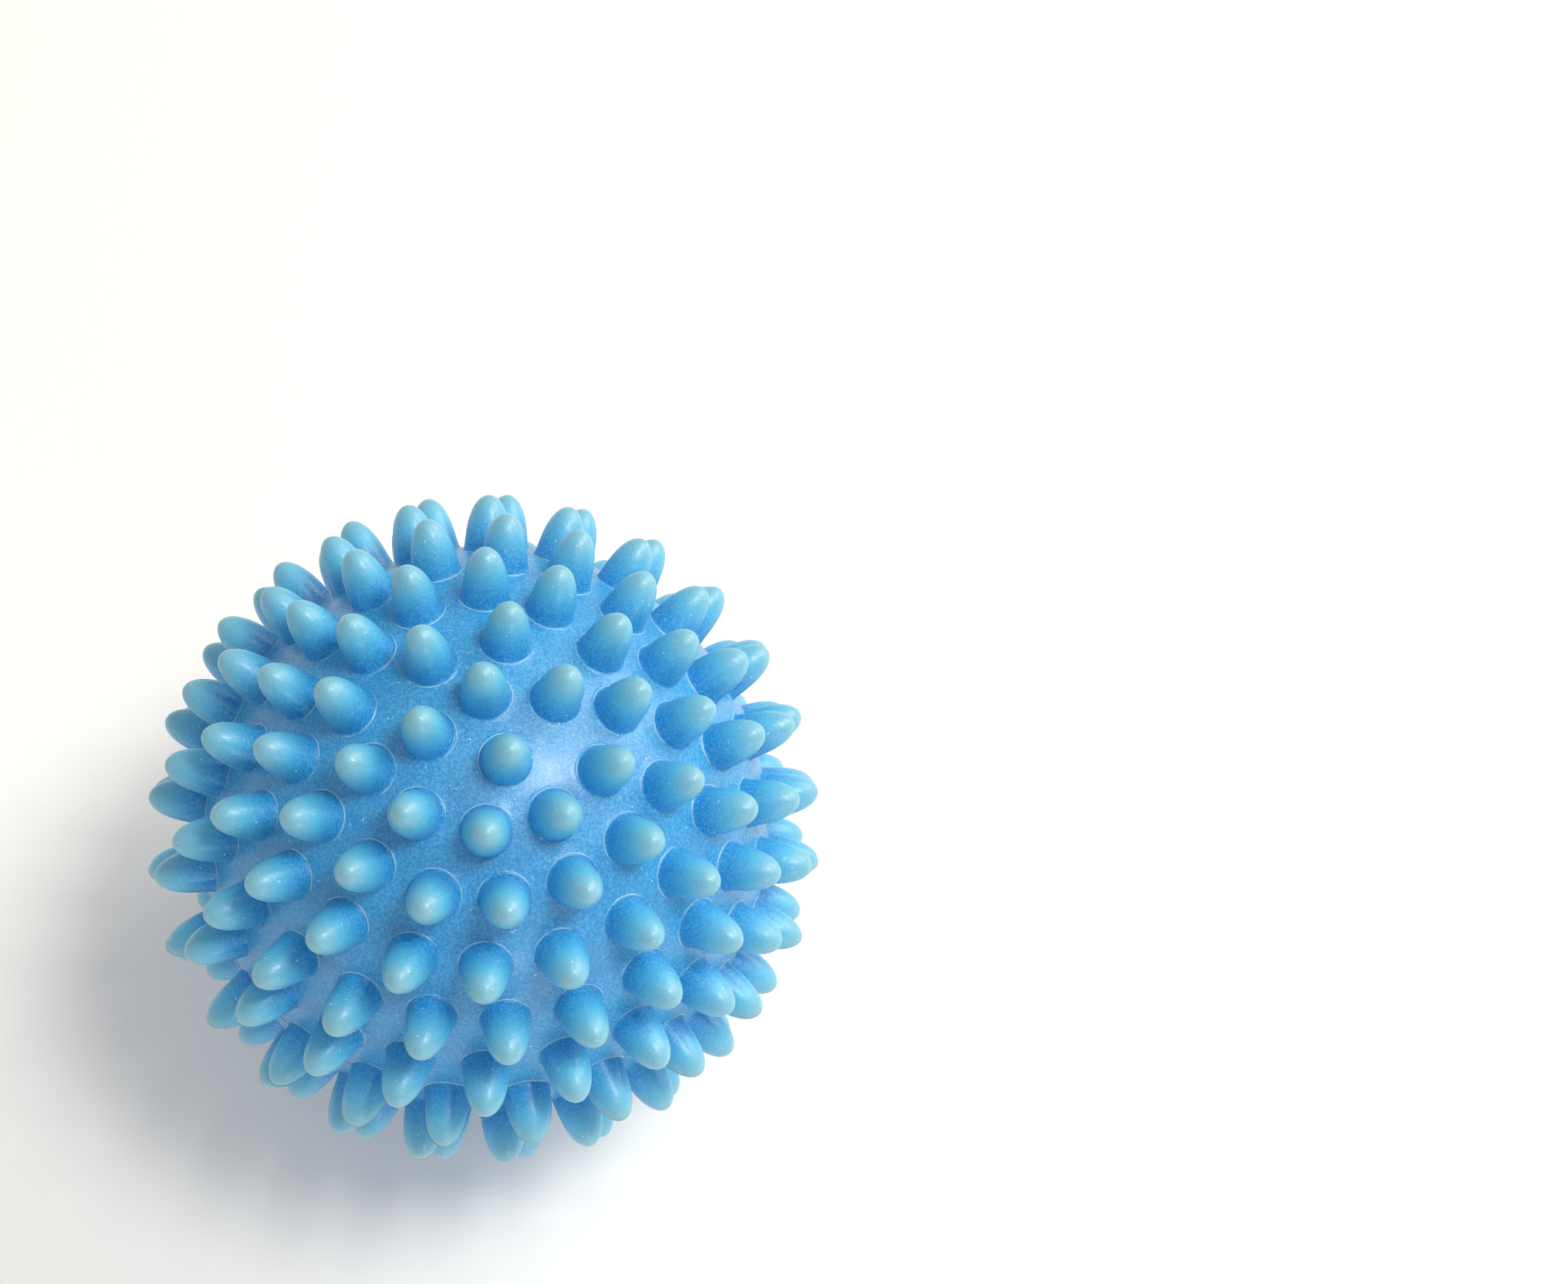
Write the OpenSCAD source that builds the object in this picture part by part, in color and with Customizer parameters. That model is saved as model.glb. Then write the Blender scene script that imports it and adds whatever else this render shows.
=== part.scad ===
// Spiky dryer ball: two soft plastic half shells, closed along the equator, with blunt
// solid nubs set in rings of latitude all over them.
// +Z is the axis of the rings, and the origin is the centre of the ball.

/* [Ball] */
// Diameter over the tips of the nubs
ball_d = 65; // [58.5:0.5:71.5]
// Height of a nub above the wall
nub_h = 5.3; // [4:0.1:6]
// Thickness of the hollow wall
wall = 2.4; // [2.2:0.1:3]

/* [Nubs] */
// Width of a nub where it meets the wall
foot_d = 4.5; // [4:0.1:5]
// Width of a nub at its shoulder, where the round tip starts
shoulder_d = 3.2; // [2.8:0.1:3.6]
// Turn of the lower half's nubs against the upper half's, in degrees
lower_turn = 3; // [0:1:15]

/* [Vent plug] */
// Diameter of the plug's stem
stem_d = 2.4; // [2:0.1:2.6]
// Diameter of the plug's head
head_d = 4.6; // [4:0.1:5]

/* [Hidden] */
$fn = 96;

ball_r = ball_d / 2;
wall_r = ball_r - nub_h;
cavity_r = wall_r - wall;
shell_colour = [0.33, 0.63, 0.85];
bead_colour = [0.50, 0.74, 0.90];
plug_colour = [0.30, 0.58, 0.82];

// Nubs in each ring, from the pole down to the equator. Every ring starts on the +X side, but
// near the equator each odd ring starts half a step further round, so that its nubs are staggered
ring_nubs = [1, 5, 12, 17, 20, 23, 24, 24];
first_staggered = 5;
function ring_start(ring) = ring % 2 == 1 && ring >= first_staggered ? 180 / ring_nubs[ring] : 0;
equator_ring = len(ring_nubs) - 1;
ring_step = 90 / equator_ring;

// A nub is a cone that starts inside the wall and ends in a round cap
nub_root = 0.7;
cap_drop = 0.25;
shoulder_r = shoulder_d / 2;
cap_r = sqrt(pow(shoulder_r, 2) + pow(cap_drop, 2));
cap_z = ball_r - cap_r;
shoulder_z = cap_z + cap_drop;
foot_slope = (foot_d - shoulder_d) / 2 / (shoulder_z - wall_r);
root_r = foot_d / 2 + foot_slope * nub_root;

// The halves meet in a tongue and groove inside the wall
tongue_w = 0.8;
tongue_h = 0.8;
tongue_r = cavity_r + 0.6;
groove_gap = 0.05;
back_gap = 0.02;

// The weld bead is one ring round the outside of the joint. It fills a rebate in both rims,
// passes through the feet of the shared nubs and stands a little proud between them
bead_h = 0.5;
bead_depth = 0.3;
bead_stand = 0.15;

// The vent goes through a boss inside the lower pole, with a recess for the plug's head
head_h = 1;
recess_gap = 0.3;
stem_gap = 0.05;
boss_r = 3.4;
boss_top = cavity_r - 2.4;
head_z = wall_r - head_h;
stem_end = boss_top + 0.2;
nose_h = 0.5;
far = ball_d;

module nub_profile() {
    polygon([[0, wall_r - nub_root], [root_r, wall_r - nub_root], [shoulder_r, shoulder_z], [0, shoulder_z]]);
    intersection() {
        translate([0, cap_z]) circle(r = cap_r);
        translate([0, shoulder_z]) square([cap_r, cap_r]);
    }
}

module nub() {
    rotate_extrude() nub_profile();
}

module nub_ring(ring, turn) {
    count = ring_nubs[ring];
    for (i = [0 : count - 1])
        rotate([0, ring * ring_step, ring_start(ring) + turn + i * 360 / count]) nub();
}

// The nubs on the equator are shared: each half shell carries half of every one, and their
// flat backs stop just short of the joint, so that only the wall is welded
module half_equator_nubs(side) {
    count = ring_nubs[equator_ring];
    translate([0, 0, side * back_gap])
        for (i = [0 : count - 1])
            rotate([0, 90, ring_start(equator_ring) + i * 360 / count])
                rotate([0, 0, side * 90]) rotate_extrude(angle = 180) nub_profile();
}

module half_space(side) {
    translate([-far, -far, side > 0 ? 0 : -2 * far]) cube(2 * far);
}

module half_wall(side) {
    intersection() {
        difference() {
            sphere(r = wall_r);
            sphere(r = cavity_r);
        }
        half_space(side);
    }
}

module bead_ring() {
    difference() {
        cylinder(r = wall_r + bead_stand, h = bead_h, center = true);
        cylinder(r = wall_r - bead_depth, h = 2 * bead_h, center = true);
    }
}

module rim_ring(gap) {
    translate([0, 0, -tongue_h - gap])
        difference() {
            cylinder(r = tongue_r + tongue_w + gap, h = tongue_h + 2 * gap);
            translate([0, 0, -1]) cylinder(r = tongue_r - gap, h = tongue_h + 2);
        }
}

module tongue() {
    intersection() {
        rim_ring(0);
        half_space(-1);
    }
}

module vent_boss() {
    intersection() {
        translate([0, 0, -wall_r + wall / 2]) cylinder(r = boss_r, h = wall_r - wall / 2 - boss_top);
        sphere(r = wall_r);
    }
}

module vent_hole() {
    translate([0, 0, -far]) cylinder(r = stem_d / 2 + stem_gap, h = far);
    translate([0, 0, -far]) cylinder(r = head_d / 2 + recess_gap, h = far - head_z);
}

module upper_shell() {
    color(shell_colour)
    difference() {
        union() {
            half_wall(1);
            tongue();
            for (ring = [0 : equator_ring - 1]) nub_ring(ring, 0);
            half_equator_nubs(1);
        }
        bead_ring();
    }
}

module lower_shell() {
    color(shell_colour)
    difference() {
        union() {
            half_wall(-1);
            vent_boss();
            mirror([0, 0, 1]) for (ring = [1 : equator_ring - 1]) nub_ring(ring, lower_turn);
            half_equator_nubs(-1);
        }
        rim_ring(groove_gap);
        bead_ring();
        vent_hole();
    }
}

module seam_bead() {
    color(bead_colour) bead_ring();
}

module vent_plug() {
    color(plug_colour)
    union() {
        intersection() {
            translate([0, 0, -wall_r]) cylinder(r = head_d / 2, h = head_h);
            sphere(r = wall_r);
        }
        translate([0, 0, -head_z - 0.2]) cylinder(r = stem_d / 2, h = head_z - stem_end + 0.2);
        translate([0, 0, -stem_end]) cylinder(r1 = stem_d / 2, r2 = stem_d / 2 - 0.4, h = nose_h);
    }
}

upper_shell();
lower_shell();
seam_bead();
vent_plug();
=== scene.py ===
"""A soft plastic dryer ball: an upper and a lower moulded shell covered in blunt nubs,
a weld bead round the joint between them, and a vent plug in the lower pole.

The ball is built in millimetres and scaled to metres when each mesh is finished. +Z is the
axis of the rings of nubs, and the origin is the centre of the ball.
"""
import math
import random

import bmesh
import bpy
from mathutils import Matrix, Vector, kdtree, noise

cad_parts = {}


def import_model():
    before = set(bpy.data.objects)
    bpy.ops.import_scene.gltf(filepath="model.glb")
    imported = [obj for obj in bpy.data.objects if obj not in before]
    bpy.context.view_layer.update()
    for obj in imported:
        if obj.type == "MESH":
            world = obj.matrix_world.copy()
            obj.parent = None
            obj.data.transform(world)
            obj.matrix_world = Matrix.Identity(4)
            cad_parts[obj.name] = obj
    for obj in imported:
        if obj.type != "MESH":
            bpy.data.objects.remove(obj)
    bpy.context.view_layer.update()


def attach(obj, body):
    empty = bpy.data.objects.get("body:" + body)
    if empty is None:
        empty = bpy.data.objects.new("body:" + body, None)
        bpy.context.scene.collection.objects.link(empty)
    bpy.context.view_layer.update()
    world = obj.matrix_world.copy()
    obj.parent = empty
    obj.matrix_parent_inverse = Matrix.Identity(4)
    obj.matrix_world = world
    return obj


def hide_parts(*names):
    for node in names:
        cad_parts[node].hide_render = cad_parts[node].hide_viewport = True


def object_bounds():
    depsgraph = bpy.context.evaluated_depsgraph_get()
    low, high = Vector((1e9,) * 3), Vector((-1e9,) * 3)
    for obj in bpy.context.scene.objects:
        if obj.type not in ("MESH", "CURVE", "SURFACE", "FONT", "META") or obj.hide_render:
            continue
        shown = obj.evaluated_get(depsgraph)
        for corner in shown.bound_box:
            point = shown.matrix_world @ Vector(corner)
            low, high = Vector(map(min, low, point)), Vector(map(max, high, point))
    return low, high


MM = 0.001

# The ball, with the CAD model's measures
BALL_R = 32.5
NUB_H = 5.3
WALL = 2.4
WALL_R = BALL_R - NUB_H
CAVITY_R = WALL_R - WALL
RING_NUBS = (1, 5, 12, 17, 20, 23, 24, 24)
FIRST_STAGGERED = 5
EQUATOR_RING = len(RING_NUBS) - 1
RING_STEP = 90 / EQUATOR_RING
LOWER_TURN = 3

# A nub: a blunt bullet with a tight fillet at its foot, inside a low crease on the wall.
# The crease and the foot are (radius, rise) steps from the outside in
NUB_FOOT_R = 2.23
NUB_TAPER = 0.2
NUB_BLUNTNESS = 3.5
NUB_SHORTFALL = 0.08
NUB_SIDES = 32
NUB_RINGS = 13
NUB_RING_POWER = 1.05
FOOT_LOOP_R = 2.62
CREASE_STEPS = ((2.56, 0.02), (2.50, 0.09), (2.43, 0.08), (2.37, 0.0))
CREASE_H = max(rise for radius, rise in CREASE_STEPS)
FOOT_STEPS = ((2.31, 0.02), (2.26, 0.09), (2.24, 0.22))
FLANK_GAP = 0.15

# How single nubs and creases differ. Tilt and place are in degrees, and girth is a factor
RANDOM_SEED = 7
TILT_SPREAD = 0.75
PLACE_SPREAD = 0.3
LENGTH_SPREAD = 0.06
GIRTH_RANGE = (0.985, 1.012)
CREASE_LEVEL = 0.25
CREASE_LEAN = 0.75
CREASE_UNEVENNESS = 1.1
CREASE_WAVES = 1.3
NOISE_SPAN = 50

# The wall's own points, and how close they come to a nub's loop or to the vent
WALL_POINTS = 21000
POINT_GAP = 0.3

# The tongue and groove between the shells, and the parting line along the shared nubs
TONGUE_INSET = 0.6
TONGUE_R = CAVITY_R + TONGUE_INSET
TONGUE_W = 0.8
TONGUE_H = 0.8
TONGUE_CHAMFER = 0.1
GROOVE_GAP = 0.05
CAVITY_STEPS = 24
CAVITY_TOP_ANGLE = 86
PARTING_LINE = 0.06
PARTING_START = 0.5
LATHE_SIDES = 96

# The weld bead. The higher its waves, the shorter they are, and its shares are of its full size
BEAD_HALF_H = 0.25
BEAD_DEPTH = 0.3
BEAD_STAND = 0.15
BEAD_SINK = 0.04
BEAD_LOWEST_SHARE = 0.35
BEAD_THINNEST_SHARE = 0.8
BEAD_SWELL = 0.15
BEAD_DRIFT = 0.05
BEAD_WAVES = 19
BEAD_DRIFT_WAVES = 11
BEAD_DRIFT_SHIFT = (7, 0, 0)
BEAD_SIDES = 720
BEAD_FACE_STEPS = 8

# The vent through the lower pole, and its plug
HEAD_R = 2.3
HEAD_H = 1.0
HEAD_Z = WALL_R - HEAD_H
STEM_R = 1.2
RECESS_GAP = 0.3
RECESS_R = HEAD_R + RECESS_GAP
RECESS_CHAMFER = 0.1
RECESS_MOUTH_R = RECESS_R + RECESS_CHAMFER
RECESS_EDGE = 0.25
STEM_GAP = 0.05
HOLE_R = STEM_R + STEM_GAP
HOLE_CHAMFER = 0.1
BOSS_R = 3.4
BOSS_H = 2.4
BOSS_TOP = CAVITY_R - BOSS_H
BOSS_CHAMFER = 0.15
STEM_INSET = 0.2
STEM_END = BOSS_TOP + STEM_INSET
STEM_ROUND = 0.1
NOSE_H = 0.5
NOSE_TAPER = 0.4
HEAD_ROUND = 0.12
HEAD_EDGE = 0.3
EDGE_BREAK = 0.08
HEAD_STEPS = 8
PLUG_SIDES = 64

# Tolerances: how close points are joined, how close to the joint a cut snaps to it, and how close
# a point or a direction counts as on it. A direction is near the axis from this cosine on
JOIN_DISTANCE = 1e-5
CUT_SNAP = 1e-4
ON_JOINT = 1e-3
NEAR_AXIS = 0.999
SHARP_ANGLE = 32

# The studio: the floor in metres, and each softbox's place, size and power in millimetres and watts
FLOOR_HALF = 3.0
SOFTBOXES = (
    ("key_softbox", (260, -40, 650), 200, 2.2, (1, 0.98, 0.92)),
    ("side_softbox", (560, 340, 460), 500, 3.0, (1, 0.96, 0.84)),
    ("front_softbox", (200, -600, 120), 130, 0.4, (1, 1, 1)),
)
WORLD_COLOUR = (1.0, 0.985, 0.96, 1)
WORLD_STRENGTH = 0.44

# The camera looks past the ball at a point up and to the right of it
CAMERA_LENS = 59.4
CAMERA_SENSOR = 36
CAMERA_AIM = (30.1, 20.25, 0)
CAMERA_AZIMUTH = -12.7
CAMERA_ELEVATION = 60.8
CAMERA_ROLL = 10.95
CAMERA_DISTANCE = 264.8
CAMERA_CLIP = (0.01, 20)


# ---------------------------------------------------------------- nub layout


def ring_start(ring):
    """Every ring starts on the +X side, but near the equator odd rings are staggered by half a step."""
    staggered = ring % 2 == 1 and ring >= FIRST_STAGGERED
    return 180 / RING_NUBS[ring] if staggered else 0


def ring_directions(ring, side, turn):
    """Unit vectors of the nubs in one ring. Side 1 counts the rings from the upper pole."""
    down = math.radians(ring * RING_STEP)
    directions = []
    for i in range(RING_NUBS[ring]):
        around = math.radians(ring_start(ring) + turn + i * 360 / RING_NUBS[ring])
        directions.append(Vector((
            math.sin(down) * math.cos(around),
            math.sin(down) * math.sin(around),
            side * math.cos(down),
        )))
    return directions


def nub_layout():
    """Every nub's direction. The vent takes the lower pole, and the equator is shared."""
    directions = []
    for ring in range(EQUATOR_RING + 1):
        directions += ring_directions(ring, 1, 0)
    for ring in range(1, EQUATOR_RING):
        directions += ring_directions(ring, -1, LOWER_TURN)
    return directions


def side_axes(direction):
    """Two unit vectors at right angles to a direction. The second leans towards the upper pole."""
    helper = Vector((0, 0, 1)) if abs(direction.z) < NEAR_AXIS else Vector((1, 0, 0))
    across = helper.cross(direction).normalized()
    return across, direction.cross(across)


def nub_places(rng):
    """Every nub's direction, a little out of place, apart from those that the joint cuts."""
    shift = math.radians(PLACE_SPREAD)
    places = []
    for direction in nub_layout():
        across, along = side_axes(direction)
        if abs(direction.z) > ON_JOINT:
            direction = direction + rng.uniform(-shift, shift) * across + rng.uniform(-shift, shift) * along
        places.append(direction.normalized())
    return places


def circle_on_wall(direction, radius):
    """Points of a circle that lies on the outside of the wall, round a direction."""
    across, along = side_axes(direction)
    rise = math.sqrt(WALL_R**2 - radius**2)
    points = []
    for i in range(NUB_SIDES):
        angle = 2 * math.pi * i / NUB_SIDES
        points.append(direction * rise + radius * (math.cos(angle) * across + math.sin(angle) * along))
    return points


def wall_points(loops_round):
    """Even points over the wall, clear of the loops, given as (direction, radius)."""
    tree = kdtree.KDTree(len(loops_round))
    for i, (direction, radius) in enumerate(loops_round):
        tree.insert(direction * WALL_R, i)
    tree.balance()
    golden = math.pi * (3 - math.sqrt(5))
    points = []
    for i in range(WALL_POINTS):
        z = 1 - (2 * i + 1) / WALL_POINTS
        flat = math.sqrt(1 - z * z)
        point = WALL_R * Vector((flat * math.cos(golden * i), flat * math.sin(golden * i), z))
        index, distance = tree.find(point)[1:]
        if distance > loops_round[index][1] + POINT_GAP:
            points.append(point)
    return points


# ---------------------------------------------------------------- mesh helpers


def add_ring(bm, points):
    return [bm.verts.new(point) for point in points]


def join_rings(bm, first, second):
    """A band of four-sided faces between two closed rings of the same number of points."""
    count = len(first)
    for i in range(count):
        j = (i + 1) % count
        bm.faces.new((first[i], first[j], second[j], second[i]))


def close_ring(bm, ring, point):
    """A fan of triangles from a ring to one point."""
    top = bm.verts.new(point)
    for i, vert in enumerate(ring):
        bm.faces.new((vert, ring[(i + 1) % len(ring)], top))


def lathe_rings(bm, profile, sides):
    """Rings of points round the Z axis for a profile of (radius, height)."""
    rings = []
    for radius, height in profile:
        points = []
        for i in range(sides):
            angle = 2 * math.pi * i / sides
            points.append((radius * math.cos(angle), radius * math.sin(angle), height))
        rings.append(add_ring(bm, points))
    for first, second in zip(rings, rings[1:]):
        join_rings(bm, first, second)
    return rings


def ring_edges(bm, ring):
    return [bm.edges.get((ring[i], ring[(i + 1) % len(ring)])) for i in range(len(ring))]


def finish_mesh(bm, name):
    """Scales the mesh to metres and makes it a smooth object with crisp edges."""
    bmesh.ops.remove_doubles(bm, verts=bm.verts, dist=JOIN_DISTANCE)
    bmesh.ops.delete(bm, geom=[vert for vert in bm.verts if not vert.link_faces], context="VERTS")
    bmesh.ops.scale(bm, vec=(MM, MM, MM), verts=bm.verts)
    bmesh.ops.recalc_face_normals(bm, faces=bm.faces)
    for face in bm.faces:
        face.smooth = True
    for edge in bm.edges:
        edge.smooth = edge.calc_face_angle(0) < math.radians(SHARP_ANGLE)
    mesh = bpy.data.meshes.new(name)
    bm.to_mesh(mesh)
    bm.free()
    piece = bpy.data.objects.new(name, mesh)
    bpy.context.scene.collection.objects.link(piece)
    return piece


# ---------------------------------------------------------------- nubs


def nub_radius(share):
    """Radius of a nub at a share of its height."""
    taper = 1 - NUB_TAPER * share
    return NUB_FOOT_R * taper * math.sqrt(max(0, 1 - share**NUB_BLUNTNESS))


def crease_height(angle, side, seed):
    """How far the crease round a foot is raised, from 0 to 1. It is highest towards the shell's pole."""
    unevenness = noise.noise(seed + CREASE_WAVES * Vector((math.cos(angle), math.sin(angle), 0)))
    raised = CREASE_LEVEL + CREASE_LEAN * side * math.sin(angle) + CREASE_UNEVENNESS * unevenness
    return min(1.0, max(0.0, raised))


def crease_rings(bm, direction, seed, painted_glint):
    """The crease round a nub's foot. It stores in a layer how high each of its points is raised, and that
    share paints a pale glint along the crease crest.
    """
    side = 1 if direction.z > -ON_JOINT else -1
    raised = [crease_height(2 * math.pi * i / NUB_SIDES, side, seed) for i in range(NUB_SIDES)]
    rings = []
    for radius, rise in CREASE_STEPS:
        points = circle_on_wall(direction, radius)
        ring = add_ring(bm, [point + direction * rise * up for point, up in zip(points, raised)])
        for vert, up in zip(ring, raised):
            vert[painted_glint] = up * rise / CREASE_H
        rings.append(ring)
    return rings


def foot_rings(bm, direction):
    """The fillet at a nub's foot."""
    rings = []
    for radius, rise in FOOT_STEPS:
        points = circle_on_wall(direction, radius)
        rings.append(add_ring(bm, [point + direction * rise for point in points]))
    return rings


def flank_rings(bm, direction, foot, axis, reach, girth):
    """The flank and the round tip of a nub that leans along an axis."""
    across, along = side_axes(direction)
    rings = []
    for step in range(NUB_RINGS):
        share = math.sin((0.5 + step) / NUB_RINGS * math.pi / 2) ** NUB_RING_POWER
        if share * reach < FOOT_STEPS[-1][1] + FLANK_GAP:
            continue
        radius = girth * nub_radius(share)
        points = []
        for i in range(NUB_SIDES):
            angle = 2 * math.pi * i / NUB_SIDES
            outward = math.cos(angle) * across + math.sin(angle) * along
            points.append(foot + axis * share * reach + radius * outward)
        rings.append(add_ring(bm, points))
    return rings


def add_nub(bm, direction, loop, painted_glint, rng):
    """One nub on its loop of wall points: crease, fillet, flank and round tip."""
    across, along = side_axes(direction)
    lean = Vector((rng.gauss(0, 1), rng.gauss(0, 1), 0)) * math.radians(TILT_SPREAD)
    axis = (direction + lean.x * across + lean.y * along).normalized()
    length = NUB_H - NUB_SHORTFALL - abs(rng.gauss(0, LENGTH_SPREAD))
    girth = rng.uniform(*GIRTH_RANGE)
    seed = Vector((rng.uniform(0, NOISE_SPAN), rng.uniform(0, NOISE_SPAN), 0))
    foot = direction * math.sqrt(WALL_R**2 - NUB_FOOT_R**2)
    reach = length + WALL_R - foot.length

    rings = [loop] + crease_rings(bm, direction, seed, painted_glint) + foot_rings(bm, direction)
    rings += flank_rings(bm, direction, foot, axis, reach, girth)
    for first, second in zip(rings, rings[1:]):
        join_rings(bm, first, second)
    close_ring(bm, rings[-1], foot + axis * reach)


# ---------------------------------------------------------------- outer skin


def recess_mouth(bm):
    """The ring on the skin where the recess for the plug's head starts."""
    height = -math.sqrt(WALL_R**2 - RECESS_MOUTH_R**2)
    points = []
    for i in range(LATHE_SIDES):
        angle = 2 * math.pi * i / LATHE_SIDES
        points.append((RECESS_MOUTH_R * math.cos(angle), RECESS_MOUTH_R * math.sin(angle), height))
    return add_ring(bm, points)


def mend_loop(bm, loop):
    """Joins up the loop points that the hull passed over, because they lie so close to its faces."""
    count = len(loop)
    for i, vert in enumerate(loop):
        if vert.link_faces:
            continue
        before = next(loop[(i - k) % count] for k in range(1, count) if loop[(i - k) % count].link_faces)
        after = next(loop[(i + k) % count] for k in range(1, count) if loop[(i + k) % count].link_faces)
        chord = bm.edges.get((before, after))
        third = next(other for other in chord.link_faces[0].verts if other not in chord.verts)
        bm.edges.remove(chord)
        bm.faces.new((before, vert, third))
        bm.faces.new((vert, after, third))


def open_loops(bm, loops):
    """Deletes the hull's faces inside each loop, and mends the loops."""
    owner = {vert: number for number, loop in enumerate(loops) for vert in loop}
    covered = [
        face for face in bm.faces
        if face.verts[0] in owner and len({owner.get(vert) for vert in face.verts}) == 1
    ]
    bmesh.ops.delete(bm, geom=covered, context="FACES")
    for loop in loops:
        mend_loop(bm, loop)


def build_skin():
    """The whole outer surface as one mesh, open only at the vent. Returns it and the vent's ring."""
    rng = random.Random(RANDOM_SEED)
    nubs = nub_places(rng)
    bm = bmesh.new()
    # A layer for the painted glints along the crease crests.
    painted_glint = bm.verts.layers.float.new("painted_glint")
    loops = [add_ring(bm, circle_on_wall(nub, FOOT_LOOP_R)) for nub in nubs]
    vent_loop = recess_mouth(bm)
    vent = (Vector((0, 0, -1)), RECESS_MOUTH_R)
    add_ring(bm, wall_points([(nub, FOOT_LOOP_R) for nub in nubs] + [vent]))
    bmesh.ops.convex_hull(bm, input=bm.verts, use_existing_faces=False)
    open_loops(bm, loops + [vent_loop])
    for nub, loop in zip(nubs, loops):
        add_nub(bm, nub, loop, painted_glint, rng)
    return bm, vent_loop


def keep_half(bm, side):
    """Cuts the skin on the joint plane and keeps one side. Returns the edges round the cut.

    The cut edge is raised a little, as the parting line that the mould leaves along the shared nubs.
    """
    geom = bm.verts[:] + bm.edges[:] + bm.faces[:]
    plane = {"plane_co": (0, 0, 0), "plane_no": (0, 0, side)}
    bmesh.ops.bisect_plane(bm, geom=geom, dist=CUT_SNAP, clear_inner=True, **plane)
    bm.normal_update()
    edges = []
    for edge in bm.edges:
        if edge.is_boundary and all(abs(vert.co.z) < ON_JOINT for vert in edge.verts):
            edges.append(edge)
    for vert in {vert for edge in edges for vert in edge.verts}:
        outward = Vector((vert.normal.x, vert.normal.y, 0)).normalized()
        clear_of_foot = min(1, max(0, vert.co.length - WALL_R - PARTING_START))
        vert.co += outward * PARTING_LINE * clear_of_foot
    return edges


# ---------------------------------------------------------------- pieces


def cavity_profile(side, last_angle):
    """The inside of a shell from its rim towards the pole."""
    angles = [math.radians(last_angle) * i / CAVITY_STEPS for i in range(CAVITY_STEPS + 1)]
    return [(CAVITY_R * math.cos(angle), side * CAVITY_R * math.sin(angle)) for angle in angles]


def finish_shell(bm, name, cut_edges, rim, side):
    """Fills the flat joint face between the cut skin and the rim of the inside."""
    edges = cut_edges + ring_edges(bm, rim)
    bmesh.ops.triangle_fill(bm, use_beauty=True, edges=edges, normal=(0, 0, side))
    return finish_mesh(bm, name)


def build_upper_shell():
    """The upper shell, with a tongue round the inside of its rim."""
    bm = build_skin()[0]
    cut_edges = keep_half(bm, 1)
    outer = TONGUE_R + TONGUE_W
    tongue = [
        (outer, 0),
        (outer, TONGUE_CHAMFER - TONGUE_H),
        (outer - TONGUE_CHAMFER, -TONGUE_H),
        (TONGUE_R + TONGUE_CHAMFER, -TONGUE_H),
        (TONGUE_R, TONGUE_CHAMFER - TONGUE_H),
        (TONGUE_R, 0),
    ]
    rings = lathe_rings(bm, tongue + cavity_profile(1, CAVITY_TOP_ANGLE), LATHE_SIDES)
    close_ring(bm, rings[-1], (0, 0, CAVITY_R))
    return finish_shell(bm, "upper_shell_moulding", cut_edges, rings[0], 1)


def build_lower_shell():
    """The lower shell, with a groove in its rim, a boss inside its pole and the vent through it."""
    bm, vent_loop = build_skin()
    cut_edges = keep_half(bm, -1)
    inner = TONGUE_R - GROOVE_GAP
    outer = TONGUE_R + TONGUE_W + GROOVE_GAP
    groove_z = -TONGUE_H - GROOVE_GAP
    groove = [(outer, 0), (outer, groove_z), (inner, groove_z), (inner, 0)]
    boss_angle = math.degrees(math.acos(BOSS_R / CAVITY_R))
    vent = [
        (BOSS_R, BOSS_CHAMFER - BOSS_TOP),
        (BOSS_R - BOSS_CHAMFER, -BOSS_TOP),
        (HOLE_R + HOLE_CHAMFER, -BOSS_TOP),
        (HOLE_R, -BOSS_TOP - HOLE_CHAMFER),
        (HOLE_R, -HEAD_Z),
        (RECESS_R, -HEAD_Z),
        (RECESS_R, -WALL_R + RECESS_EDGE),
    ]
    rings = lathe_rings(bm, groove + cavity_profile(-1, boss_angle) + vent, LATHE_SIDES)
    join_rings(bm, rings[-1], vent_loop)
    return finish_shell(bm, "lower_shell_moulding", cut_edges, rings[0], -1)


def bead_section(outward):
    """The bead's outline in one direction, as (radius, height). It swells where more plastic came out."""
    squeeze = 0.5 + 0.5 * noise.noise(outward * BEAD_WAVES)
    stand = BEAD_STAND * (BEAD_LOWEST_SHARE + (1 - BEAD_LOWEST_SHARE) * squeeze)
    half_h = BEAD_HALF_H * (BEAD_THINNEST_SHARE + BEAD_SWELL * squeeze)
    drift = BEAD_DRIFT * noise.noise(outward * BEAD_DRIFT_WAVES + Vector(BEAD_DRIFT_SHIFT))
    section = [(WALL_R - BEAD_DEPTH, -BEAD_HALF_H), (WALL_R - BEAD_DEPTH, BEAD_HALF_H)]
    for step in range(BEAD_FACE_STEPS + 1):
        turn = math.pi / 2 - math.pi * step / BEAD_FACE_STEPS
        radius = WALL_R - BEAD_SINK + (stand + BEAD_SINK) * math.cos(turn)
        section.append((radius, half_h * math.sin(turn) + drift))
    return section


def build_weld_bead():
    """The weld bead: a ring with an uneven rounded face where the plastic was squeezed out."""
    bm = bmesh.new()
    rings = []
    for i in range(BEAD_SIDES):
        angle = 2 * math.pi * i / BEAD_SIDES
        outward = Vector((math.cos(angle), math.sin(angle), 0))
        points = [outward * radius + Vector((0, 0, height)) for radius, height in bead_section(outward)]
        rings.append(add_ring(bm, points))
    for first, second in zip(rings, rings[1:] + rings[:1]):
        join_rings(bm, first, second)
    return finish_mesh(bm, "weld_bead")


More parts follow.
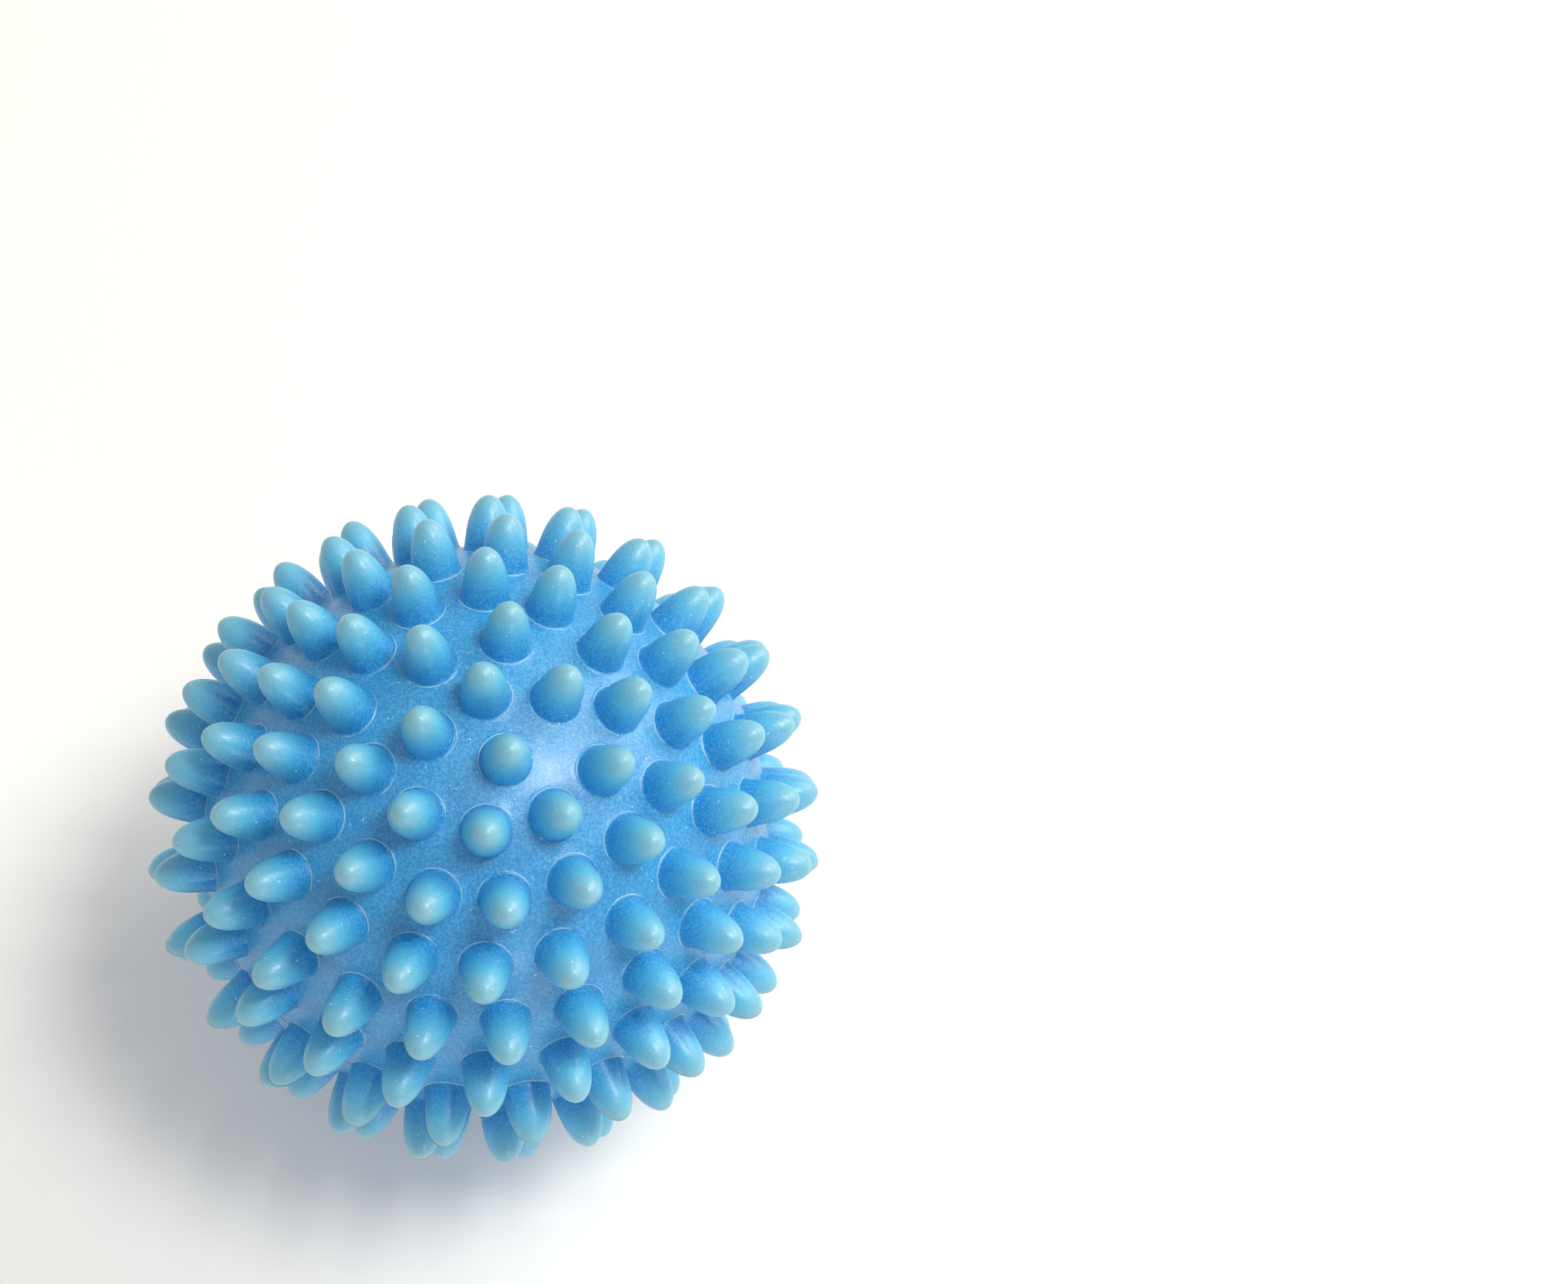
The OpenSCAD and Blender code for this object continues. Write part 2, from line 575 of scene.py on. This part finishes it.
def build_vent_plug():
    """The vent plug: a domed head that follows the wall, a stem and a tapered nose."""
    profile = []
    for step in range(1, HEAD_STEPS + 1):
        radius = (HEAD_R - HEAD_ROUND) * step / HEAD_STEPS
        profile.append((radius, -math.sqrt(WALL_R**2 - radius**2)))
    profile += [
        (HEAD_R - HEAD_ROUND / 4, HEAD_ROUND / 2 - math.sqrt(WALL_R**2 - HEAD_R**2)),
        (HEAD_R, HEAD_EDGE - WALL_R),
        (HEAD_R, -HEAD_Z - EDGE_BREAK),
        (HEAD_R - EDGE_BREAK, -HEAD_Z),
        (STEM_R + STEM_ROUND / 5, -HEAD_Z),
        (STEM_R, -HEAD_Z + STEM_ROUND),
        (STEM_R, -STEM_END - STEM_ROUND),
        (STEM_R - EDGE_BREAK / 2, -STEM_END),
        (STEM_R - NOSE_TAPER, -STEM_END + NOSE_H - EDGE_BREAK),
        (STEM_R - NOSE_TAPER - EDGE_BREAK, -STEM_END + NOSE_H),
    ]
    bm = bmesh.new()
    rings = lathe_rings(bm, profile, PLUG_SIDES)
    close_ring(bm, rings[0], (0, 0, -WALL_R))
    close_ring(bm, rings[-1], (0, 0, -STEM_END + NOSE_H))
    return finish_mesh(bm, "vent_plug_moulding")


# ---------------------------------------------------------------- materials


class Nodes:
    """Short calls for building one material's nodes."""

    def __init__(self, name):
        self.material = bpy.data.materials.new(name)
        self.material.use_nodes = True
        self.tree = self.material.node_tree
        self.shader = self.tree.nodes["Principled BSDF"]
        self.place = self.add("ShaderNodeTexCoord").outputs["Object"]

    def add(self, kind, **settings):
        node = self.tree.nodes.new(kind)
        for key, value in settings.items():
            setattr(node, key, value)
        return node

    def link(self, output, socket):
        self.tree.links.new(output, socket)

    def shade(self, **outputs):
        """Links sockets to the shader. An underscore in a name stands for a space."""
        for name, output in outputs.items():
            self.link(output, self.shader.inputs[name.replace("_", " ")])

    def settle(self, **values):
        """Sets fixed values on the shader. An underscore in a name stands for a space."""
        for name, value in values.items():
            self.shader.inputs[name.replace("_", " ")].default_value = value

    def noise(self, size, detail=2.0, roughness=0.5):
        """Noise with features of about the given size in millimetres."""
        node = self.add("ShaderNodeTexNoise")
        node.inputs["Scale"].default_value = 1 / (size * MM)
        node.inputs["Detail"].default_value = detail
        node.inputs["Roughness"].default_value = roughness
        self.link(self.place, node.inputs["Vector"])
        return node.outputs["Fac"]

    def remap(self, value, low, high, to_low=0.0, to_high=1.0):
        node = self.add("ShaderNodeMapRange")
        node.inputs["From Min"].default_value = low
        node.inputs["From Max"].default_value = high
        node.inputs["To Min"].default_value = to_low
        node.inputs["To Max"].default_value = to_high
        self.link(value, node.inputs["Value"])
        return node.outputs["Result"]

    def mix(self, factor, first, second):
        """A colour mix. Each colour is a socket or a fixed colour."""
        node = self.add("ShaderNodeMix", data_type="RGBA")
        self.link(factor, node.inputs["Factor"])
        for socket, value in ((node.inputs[6], first), (node.inputs[7], second)):
            if isinstance(value, tuple):
                socket.default_value = value
            else:
                self.link(value, socket)
        return node.outputs[2]

    def ramp(self, value, stops):
        """A colour ramp of (position, colour) stops."""
        node = self.add("ShaderNodeValToRGB")
        elements = node.color_ramp.elements
        elements[0].position, elements[0].color = stops[0]
        elements[1].position, elements[1].color = stops[-1]
        for position, colour in stops[1:-1]:
            elements.new(position).color = colour
        self.link(value, node.inputs["Fac"])
        return node.outputs["Color"]

    def bump(self, height, distance, strength, under=None):
        """Raises the surface by up to the given number of millimetres."""
        node = self.add("ShaderNodeBump")
        node.inputs["Distance"].default_value = distance * MM
        node.inputs["Strength"].default_value = strength
        self.link(height, node.inputs["Height"])
        if under:
            self.link(under, node.inputs["Normal"])
        return node.outputs["Normal"]


def srgb(red, green, blue):
    """A colour given in 0 to 255 as it looks on a screen."""
    def linear(value):
        value /= 255
        return value / 12.92 if value < 0.04045 else ((value + 0.055) / 1.055) ** 2.4
    return (linear(red), linear(green), linear(blue), 1.0)


def radial_place(nodes):
    """0 at the wall and 1 at the tips of the nubs."""
    distance = nodes.add("ShaderNodeVectorMath", operation="LENGTH")
    nodes.link(nodes.place, distance.inputs[0])
    return nodes.remap(distance.outputs["Value"], low=WALL_R * MM, high=BALL_R * MM)


def soft_plastic(name, wall, flank, cap):
    """Blasted soft plastic, cloudy, grained, with specks. Its colour holds painted light: darker at the
    wall between the nubs as painted shade, paler at the tips as a painted highlight, and paler along the
    raised creases as painted glints.
    """
    nodes = Nodes(name)
    # Painted light by height: the wall between the nubs is darker as painted shade, the flanks lighter, and
    # the tips palest as a painted highlight.
    colour = nodes.ramp(radial_place(nodes), [(0.0, wall), (0.15, wall), (0.6, flank), (1.0, cap)])
    cloud = nodes.remap(nodes.noise(size=9, detail=3), low=0.35, high=0.65, to_high=0.10)
    colour = nodes.mix(cloud, colour, srgb(96, 190, 232))
    grain = nodes.remap(nodes.noise(size=0.28, roughness=0.8), low=0.44, high=0.60, to_high=0.5)
    colour = nodes.mix(grain, colour, srgb(100, 202, 240))
    speck = nodes.remap(nodes.noise(size=0.30, detail=0), low=0.83, high=0.855, to_high=0.8)
    colour = nodes.mix(speck, colour, srgb(215, 238, 246))
    # Painted glints: the crease crests are painted paler, as highlights where the light catches them.
    painted_glint = nodes.add("ShaderNodeAttribute", attribute_name="painted_glint").outputs["Fac"]
    painted_glint_share = nodes.remap(painted_glint, low=0.35, high=0.9, to_high=0.9)
    colour = nodes.mix(painted_glint_share, colour, srgb(170, 220, 242))

    smear = nodes.remap(nodes.noise(size=2.2, detail=4), low=0.3, high=0.7, to_low=0.40, to_high=0.54)
    orange_peel = nodes.bump(nodes.noise(size=0.55, detail=3, roughness=0.6), distance=0.08, strength=0.7)
    tooth = nodes.bump(nodes.noise(size=0.2), distance=0.035, strength=0.7, under=orange_peel)
    nodes.shade(Base_Color=colour, Roughness=smear, Normal=tooth)
    nodes.settle(
        Subsurface_Weight=0.25,
        Subsurface_Radius=(0.2, 0.8, 1.0),
        Subsurface_Scale=1.6 * MM,
        IOR=1.55,
        Specular_IOR_Level=0.85,
        Coat_Weight=0.25,
        Coat_Roughness=0.2,
        Sheen_Weight=0.04,
        Sheen_Roughness=0.45,
        Sheen_Tint=(0.8, 0.95, 1.0, 1),
    )
    return nodes.material


def weld_plastic():
    """The bead's plastic was melted, so it is paler and shinier, with drawn-out smears."""
    nodes = Nodes("weld_plastic")
    streak = nodes.remap(nodes.noise(size=0.8, detail=4), low=0.35, high=0.7)
    nodes.shade(
        Base_Color=nodes.mix(streak, srgb(96, 168, 214), srgb(150, 205, 235)),
        Roughness=nodes.remap(streak, low=0, high=1, to_low=0.28, to_high=0.42),
        Normal=nodes.bump(nodes.noise(size=0.3, detail=3), distance=0.03, strength=0.6),
    )
    nodes.settle(Subsurface_Weight=0.2, Subsurface_Scale=1.2 * MM)
    return nodes.material


def floor_paper():
    """Pale studio paper with a faint tooth. A little warm glow keeps the shadow neutral."""
    nodes = Nodes("floor_paper")
    tooth = nodes.remap(nodes.noise(size=1.5, detail=5), low=0.3, high=0.7)
    nodes.shade(Base_Color=nodes.mix(tooth, (0.95, 0.95, 0.95, 1), (0.97, 0.97, 0.97, 1)))
    nodes.settle(
        Roughness=0.9,
        Specular_IOR_Level=0.1,
        Emission_Color=(1, 0.82, 0.7, 1),
        Emission_Strength=0.09,
    )
    return nodes.material


# ---------------------------------------------------------------- stage


def build_floor(height):
    mesh = bpy.data.meshes.new("studio_floor")
    plan = ((-1, -1), (1, -1), (1, 1), (-1, 1))
    mesh.from_pydata([(x * FLOOR_HALF, y * FLOOR_HALF, height) for x, y in plan], [], [(0, 1, 2, 3)])
    mesh.materials.append(floor_paper())
    floor = bpy.data.objects.new("studio_floor", mesh)
    bpy.context.scene.collection.objects.link(floor)


def add_softbox(name, position, size, power, colour):
    """A square softbox that faces the ball."""
    light = bpy.data.lights.new(name, "AREA")
    light.shape = "SQUARE"
    light.size = size * MM
    light.energy = power
    light.color = colour
    lamp = bpy.data.objects.new(name, light)
    lamp.location = Vector(position) * MM
    lamp.rotation_mode = "QUATERNION"
    lamp.rotation_quaternion = (-Vector(position)).to_track_quat("-Z", "Y")
    bpy.context.scene.collection.objects.link(lamp)


def build_lights():
    for softbox in SOFTBOXES:
        add_softbox(*softbox)
    world = bpy.data.worlds.new("studio")
    world.use_nodes = True
    background = world.node_tree.nodes["Background"]
    background.inputs["Color"].default_value = WORLD_COLOUR
    background.inputs["Strength"].default_value = WORLD_STRENGTH
    bpy.context.scene.world = world


def build_camera():
    data = bpy.data.cameras.new("camera")
    data.lens = CAMERA_LENS
    data.sensor_width = CAMERA_SENSOR
    data.clip_start, data.clip_end = CAMERA_CLIP
    camera = bpy.data.objects.new("camera", data)
    azimuth = math.radians(CAMERA_AZIMUTH)
    elevation = math.radians(CAMERA_ELEVATION)
    back = Vector((
        math.sin(azimuth) * math.cos(elevation),
        -math.cos(azimuth) * math.cos(elevation),
        math.sin(elevation),
    ))
    camera.location = (Vector(CAMERA_AIM) + back * CAMERA_DISTANCE) * MM
    facing = (-back).to_track_quat("-Z", "Y").to_matrix()
    roll = Matrix.Rotation(math.radians(CAMERA_ROLL), 3, "Z")
    camera.rotation_euler = (facing @ roll).to_euler()
    bpy.context.scene.collection.objects.link(camera)
    bpy.context.scene.camera = camera


def corners(box):
    return [list(corner) for corner in box]


def main():
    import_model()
    bpy.context.scene.view_settings.view_transform = "Standard"

    # The ball's three colours paint shade on the wall between the nubs and a highlight on the tips.
    ball = soft_plastic("ball_plastic", srgb(0, 147, 216), srgb(84, 188, 228), srgb(140, 190, 202))
    plug = soft_plastic("plug_plastic", srgb(74, 158, 208), srgb(74, 158, 208), srgb(74, 158, 208))
    weld = weld_plastic()
    parts = (
        (build_upper_shell(), "upper_shell", "ball", "ball_plastic", ball),
        (build_lower_shell(), "lower_shell", "ball", "ball_plastic", ball),
        (build_weld_bead(), "seam_bead", "ball", "seam_plastic", weld),
        (build_vent_plug(), "vent_plug", "plug", "plug_plastic", plug),
    )
    for piece, node, body, slot, material in parts:
        piece.data.materials.append(material)
        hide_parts(node)
        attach(piece, body)

    build_camera()
    build_lights()
    visual_box = corners(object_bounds())
    build_floor(visual_box[0][2])


main()
